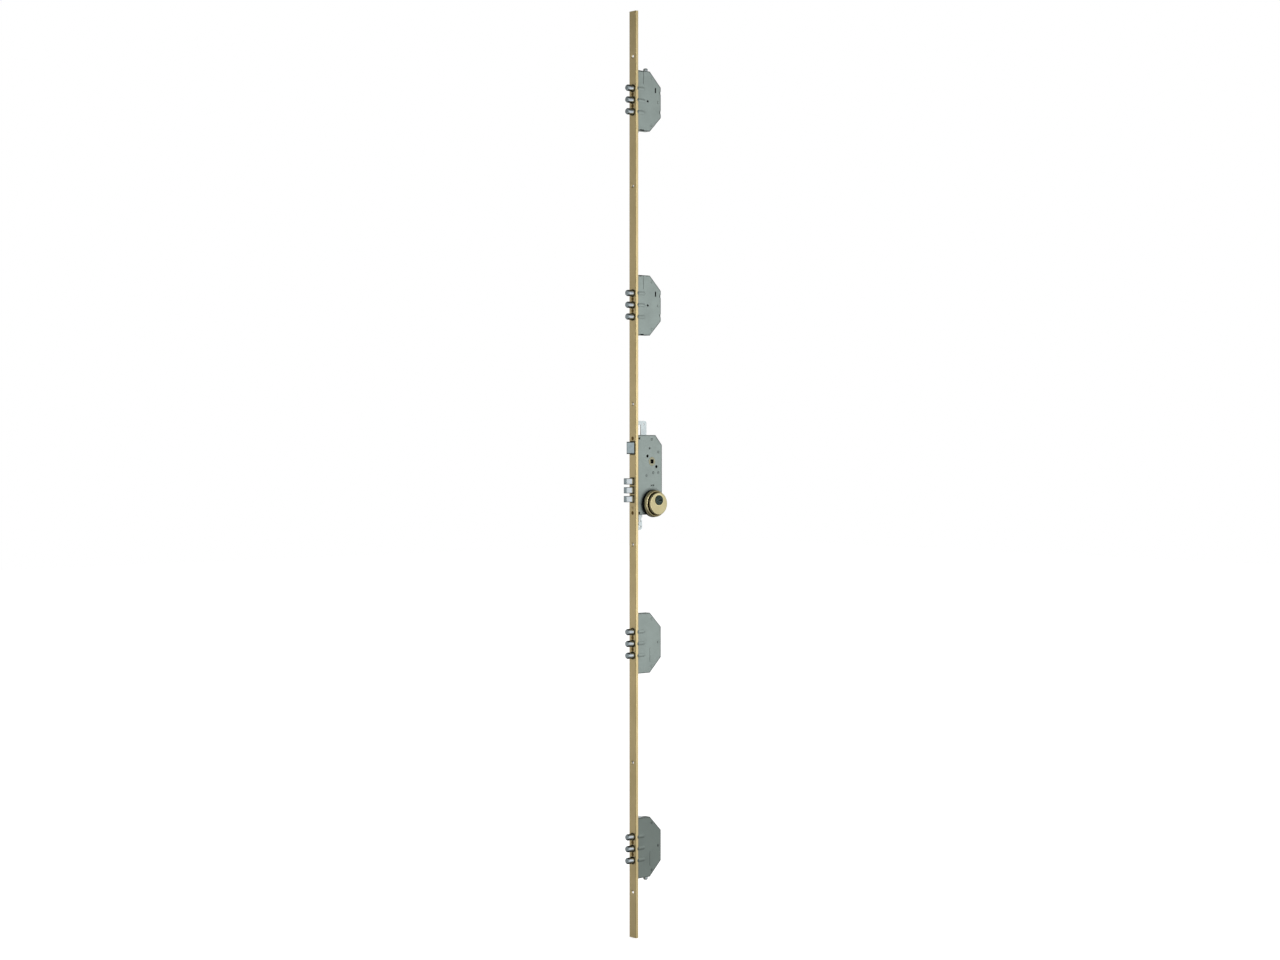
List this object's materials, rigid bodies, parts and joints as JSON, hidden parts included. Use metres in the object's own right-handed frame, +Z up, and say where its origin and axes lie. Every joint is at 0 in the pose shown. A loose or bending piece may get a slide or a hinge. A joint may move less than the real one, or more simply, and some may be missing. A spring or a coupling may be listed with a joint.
{
  "type": "multipoint mortise lock",
  "caption": "Door lock on a long folded faceplate: geared main case with latch and flat bolts, driving boxes of round bolts through rods, with a profile cylinder and round escutcheon.",
  "frame": {"origin": "middle of the faceplate's front face, half way between its outer door screws", "axes": "+X into the door, away from the bolts' throw; +Z up along the faceplate; -Y the key's outer side"},
  "size_m": [0.1022, 0.064, 2.03],
  "materials": {
    "plated_gold": "brass-coloured plated steel, satin",
    "case_zinc": "zinc-plated pressed sheet, grey-green passivated",
    "pale_zinc": "bright zinc-plated steel",
    "rod_steel": "drawn flat steel",
    "nickel": "nickel-plated steel, polished",
    "latch_steel": "nickel-plated sintered steel",
    "brass": "satin brass",
    "black": "black coated steel",
    "gear_steel": "sintered steel",
    "plug_steel": "nickel-plated steel, dark",
    "spring_steel": "spring wire",
    "screw_gold": "brass-plated screw"
  },
  "bodies": {
    "root": {"faceplate": "plated_gold", "main_case_tray": "case_zinc", "main_case_cover": "case_zinc", "main_case_rivets": "pale_zinc", "transfer_axle": "pale_zinc", "gear_axle": "pale_zinc", "latch_spring": "spring_steel", "follower_spring": "spring_steel", "cylinder_body": "brass", "cylinder_screw": "screw_gold", "escutcheon_mount": "black", "escutcheon_body": "brass", "escutcheon_disc": "brass", "escutcheon_ring": "black", "escutcheon_screws": "pale_zinc", "faceplate_screws": "screw_gold", "box_rivets": "pale_zinc", "top_box_tray": "case_zinc", "top_box_cover": "case_zinc", "upper_box_tray": "case_zinc", "upper_box_cover": "case_zinc", "lower_box_tray": "case_zinc", "lower_box_cover": "case_zinc", "bottom_box_tray": "case_zinc", "bottom_box_cover": "case_zinc"},
    "upper_drive": {"upper_drive_plate": "pale_zinc", "upper_inner_rod": "rod_steel", "upper_outer_rod": "rod_steel", "upper_box_slider": "pale_zinc", "top_box_slider": "pale_zinc", "top_shoot_stub": "pale_zinc"},
    "lower_drive": {"lower_drive_plate": "pale_zinc", "lower_inner_rod": "rod_steel", "lower_outer_rod": "rod_steel", "lower_box_slider": "pale_zinc", "bottom_box_slider": "pale_zinc", "bottom_shoot_stub": "pale_zinc"},
    "main_bolts": {"bolt_carriage": "rod_steel", "main_bolt_upper": "nickel", "main_bolt_middle": "nickel", "main_bolt_lower": "nickel"},
    "transfer_pinion": {"transfer_pinion": "gear_steel"},
    "reduction_gear": {"reduction_gear": "gear_steel"},
    "cylinder_plugs": {"cylinder_plug": "plug_steel", "cylinder_cog": "gear_steel", "cylinder_inner_plug": "plug_steel"},
    "follower": {"follower": "brass"},
    "latch": {"latch_bolt": "latch_steel", "latch_tail": "rod_steel"},
    "top_bolts": {"top_box_bolts": "nickel", "top_box_carriage": "rod_steel"},
    "upper_bolts": {"upper_box_bolts": "nickel", "upper_box_carriage": "rod_steel"},
    "lower_bolts": {"lower_box_bolts": "nickel", "lower_box_carriage": "rod_steel"},
    "bottom_bolts": {"bottom_box_bolts": "nickel", "bottom_box_carriage": "rod_steel"}
  },
  "joints": [
    {"name": "upper_drive_slide", "type": "slide", "parent": "root", "child": "upper_drive", "axis": [0, 0, -1], "range_m": [0, 0.02199]},
    {"name": "lower_drive_slide", "type": "slide", "parent": "root", "child": "lower_drive", "axis": [0, 0, 1], "range_m": [0, 0.02199]},
    {"name": "main_bolts_slide", "type": "slide", "parent": "root", "child": "main_bolts", "axis": [1, 0, 0], "range_m": [0, 0.02199]},
    {"name": "transfer_pinion_turn", "type": "hinge", "parent": "root", "child": "transfer_pinion", "pos_m": [0.034, 0, -0.0034], "axis": [0, 1, 0], "range_deg": [-141, 0]},
    {"name": "reduction_gear_turn", "type": "hinge", "parent": "root", "child": "reduction_gear", "pos_m": [0.05241, 0, -0.0271], "axis": [0, 1, 0], "range_deg": [0, 181]},
    {"name": "key_turn", "type": "hinge", "parent": "root", "child": "cylinder_plugs", "pos_m": [0.05, 0, -0.057], "axis": [0, 1, 0], "range_deg": [-361, 0]},
    {"name": "latch_slide", "type": "slide", "parent": "root", "child": "latch", "axis": [1, 0, 0], "range_m": [0, 0.013], "stiffness_N_per_m": 250, "springref_m": -0.012, "deforming": ["latch_spring"]},
    {"name": "follower_turn", "type": "hinge", "parent": "root", "child": "follower", "pos_m": [0.05, 0, 0.028], "axis": [0, 1, 0], "range_deg": [0, 45.5], "deforming": ["follower_spring"]},
    {"name": "top_bolts_slide", "type": "slide", "parent": "root", "child": "top_bolts", "axis": [1, 0, 0], "range_m": [0, 0.017]},
    {"name": "upper_bolts_slide", "type": "slide", "parent": "root", "child": "upper_bolts", "axis": [1, 0, 0], "range_m": [0, 0.017]},
    {"name": "lower_bolts_slide", "type": "slide", "parent": "root", "child": "lower_bolts", "axis": [1, 0, 0], "range_m": [0, 0.017]},
    {"name": "bottom_bolts_slide", "type": "slide", "parent": "root", "child": "bottom_bolts", "axis": [1, 0, 0], "range_m": [0, 0.017]}
  ],
  "couplings": [
    {"joint": "lower_drive_slide", "follows": "upper_drive_slide", "ratio": 1},
    {"joint": "main_bolts_slide", "follows": "upper_drive_slide", "ratio": 1},
    {"joint": "transfer_pinion_turn", "follows": "upper_drive_slide", "rad_per_m": -111.11},
    {"joint": "reduction_gear_turn", "follows": "upper_drive_slide", "rad_per_m": 142.86},
    {"joint": "key_turn", "follows": "upper_drive_slide", "rad_per_m": -285.71},
    {"joint": "follower_turn", "follows": "latch_slide", "rad_per_m": 60.415},
    {"joint": "top_bolts_slide", "follows": "upper_drive_slide", "ratio": 0.77304},
    {"joint": "upper_bolts_slide", "follows": "upper_drive_slide", "ratio": 0.77304},
    {"joint": "lower_bolts_slide", "follows": "upper_drive_slide", "ratio": 0.77304},
    {"joint": "bottom_bolts_slide", "follows": "upper_drive_slide", "ratio": 0.77304}
  ]
}
